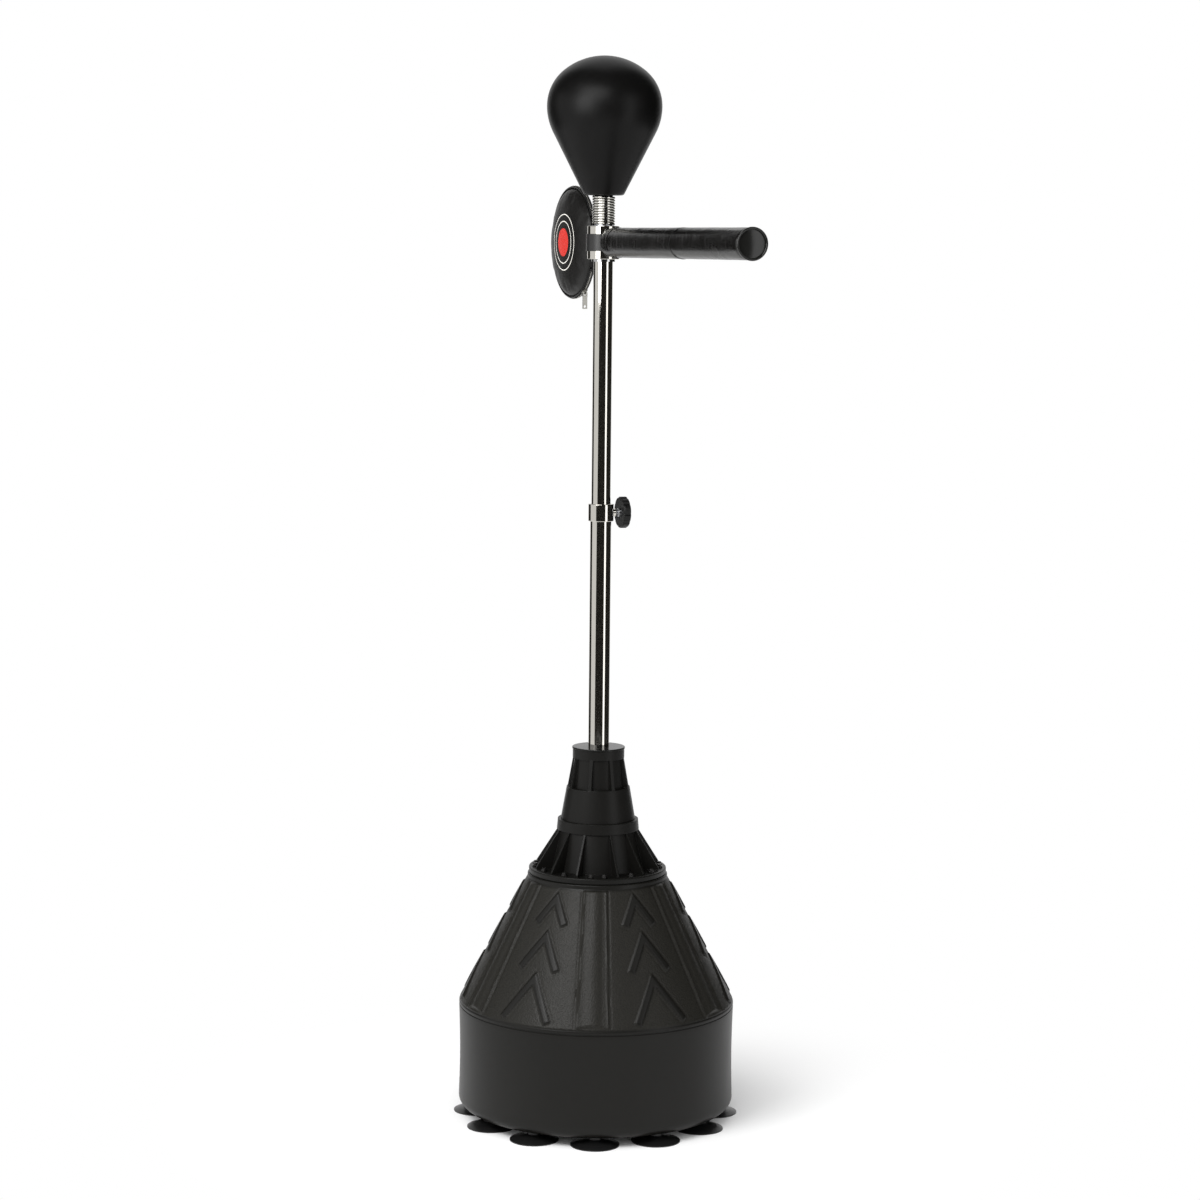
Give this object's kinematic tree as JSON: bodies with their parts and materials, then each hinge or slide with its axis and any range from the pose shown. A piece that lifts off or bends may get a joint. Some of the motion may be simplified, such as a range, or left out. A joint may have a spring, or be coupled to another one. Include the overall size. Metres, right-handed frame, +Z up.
{
  "type": "reflex speed ball stand",
  "caption": "Free-standing reflex ball stand: fillable suction base, telescoping pole, spinning padded bar with round target, teardrop ball on a spring.",
  "frame": {"origin": "on the floor, on the pole's axis, at the centre of the ring of suction cups", "axes": "+Z up along the pole; -Y is the front, where the bar points at rest (21.5 degrees towards +X); +X is to the right seen from the front"},
  "size_m": [0.4773, 0.7959, 1.7585],
  "materials": {
    "cup_rubber": "glossy black rubber",
    "black_moulded": "near-black blow-moulded plastic, grained panels",
    "neck_plastic": "near-black satin moulded plastic",
    "gloss_black": "polished black plastic",
    "zinc_steel": "zinc-plated steel",
    "seal_rubber": "black rubber",
    "cap_plastic": "black satin plastic",
    "chrome": "polished chrome plate",
    "bearing_steel": "ground bearing steel",
    "band_black": "black satin plastic",
    "bar_vinyl": "black glossy vinyl, wrinkled",
    "foam": "grey closed-cell foam",
    "target_vinyl": "black satin vinyl with printed rings",
    "zip_tape": "black woven zip tape",
    "zip_metal": "nickel-plated zip metal",
    "spring_chrome": "bright spring steel",
    "ball_leather": "black matte synthetic leather"
  },
  "bodies": {
    "stand": {"suction_cup_01": "cup_rubber", "suction_cup_02": "cup_rubber", "suction_cup_03": "cup_rubber", "suction_cup_04": "cup_rubber", "suction_cup_05": "cup_rubber", "suction_cup_06": "cup_rubber", "suction_cup_07": "cup_rubber", "suction_cup_08": "cup_rubber", "suction_cup_09": "cup_rubber", "suction_cup_10": "cup_rubber", "suction_cup_11": "cup_rubber", "suction_cup_12": "cup_rubber", "cup_studs": "zinc_steel", "base_tank": "black_moulded", "mouth_gasket": "seal_rubber", "lower_neck": "neck_plastic", "flange_screws": "zinc_steel", "upper_neck": "neck_plastic", "top_disc": "gloss_black", "pole_socket": "zinc_steel", "socket_bolts": "zinc_steel", "socket_nuts": "zinc_steel", "lower_pole": "chrome", "height_collar": "chrome"},
    "cap_seal": {"filler_seal": "seal_rubber"},
    "filler_cap": {"filler_cap": "cap_plastic"},
    "knob_screw": {"knob_screw": "zinc_steel"},
    "knob": {"knob": "cap_plastic", "knob_insert": "zinc_steel"},
    "upper_pole": {"upper_pole": "chrome", "glide_plug": "cap_plastic", "stop_ring": "zinc_steel", "stop_ring_screw": "zinc_steel", "bearing_inner_races": "bearing_steel", "spring_plug": "zinc_steel"},
    "hub": {"bearing_outer_races": "bearing_steel", "bearing_balls": "bearing_steel", "hub_sleeve": "chrome", "hub_band": "band_black", "bar_core_tube": "zinc_steel", "bar_cover": "bar_vinyl", "bar_foam": "foam", "bar_end_cap": "gloss_black", "target_paddle": "band_black", "target_cover": "target_vinyl", "target_foam": "foam", "zip_tape": "zip_tape", "zip_slider": "zip_metal"},
    "zip_pull": {"zip_pull": "zip_metal"},
    "spring": {"ball_spring": "spring_chrome"},
    "ball": {"ball_cover": "ball_leather", "ball_foam": "foam", "ball_insert": "zinc_steel"}
  },
  "joints": [
    {"name": "height_slide", "type": "slide", "parent": "stand", "child": "upper_pole", "axis": [0, 0, 1], "range_m": [-0.29, 0.05]},
    {"name": "hub_spin", "type": "hinge", "parent": "upper_pole", "child": "hub", "pos_m": [0, 0, 1.4567], "axis": [0, 0, 1], "continuous": true},
    {"name": "zip_swing", "type": "hinge", "parent": "hub", "child": "zip_pull", "pos_m": [-0.02988, 0.07587, 1.37283], "axis": [0.9304, 0.3665, 0], "range_deg": [-60, 40]},
    {"name": "ball_tilt_x", "type": "hinge", "parent": "upper_pole", "child": "spring", "pos_m": [0, 0, 1.5091], "axis": [1, 0, 0], "range_deg": [-20, 20], "stiffness_Nm_per_rad": 30, "deforming": ["ball_spring"]},
    {"name": "ball_tilt_y", "type": "hinge", "parent": "spring", "child": "ball", "pos_m": [0, 0, 1.5091], "axis": [0, 1, 0], "range_deg": [-20, 20], "stiffness_Nm_per_rad": 30, "deforming": ["ball_spring"]},
    {"name": "knob_turn", "type": "hinge", "parent": "knob_screw", "child": "knob", "pos_m": [0, 0, 1.0135], "axis": [0.9397, 0.342, 0], "range_deg": [0, 720]},
    {"name": "knob_shift", "type": "slide", "parent": "stand", "child": "knob_screw", "axis": [0.9397, 0.342, 0], "range_m": [0, 0.00201]},
    {"name": "cap_turn", "type": "hinge", "parent": "cap_seal", "child": "filler_cap", "pos_m": [0.00453, 0.17317, 0.3], "axis": [0.023, 0.8794, 0.4756], "range_deg": [0, 900]},
    {"name": "cap_lift", "type": "slide", "parent": "stand", "child": "cap_seal", "axis": [0.023, 0.8794, 0.4756], "range_m": [0, 0.00751]}
  ],
  "couplings": [
    {"joint": "knob_shift", "follows": "knob_turn", "m_per_rad": 0.00015915},
    {"joint": "cap_lift", "follows": "cap_turn", "m_per_rad": 0.00047746}
  ]
}
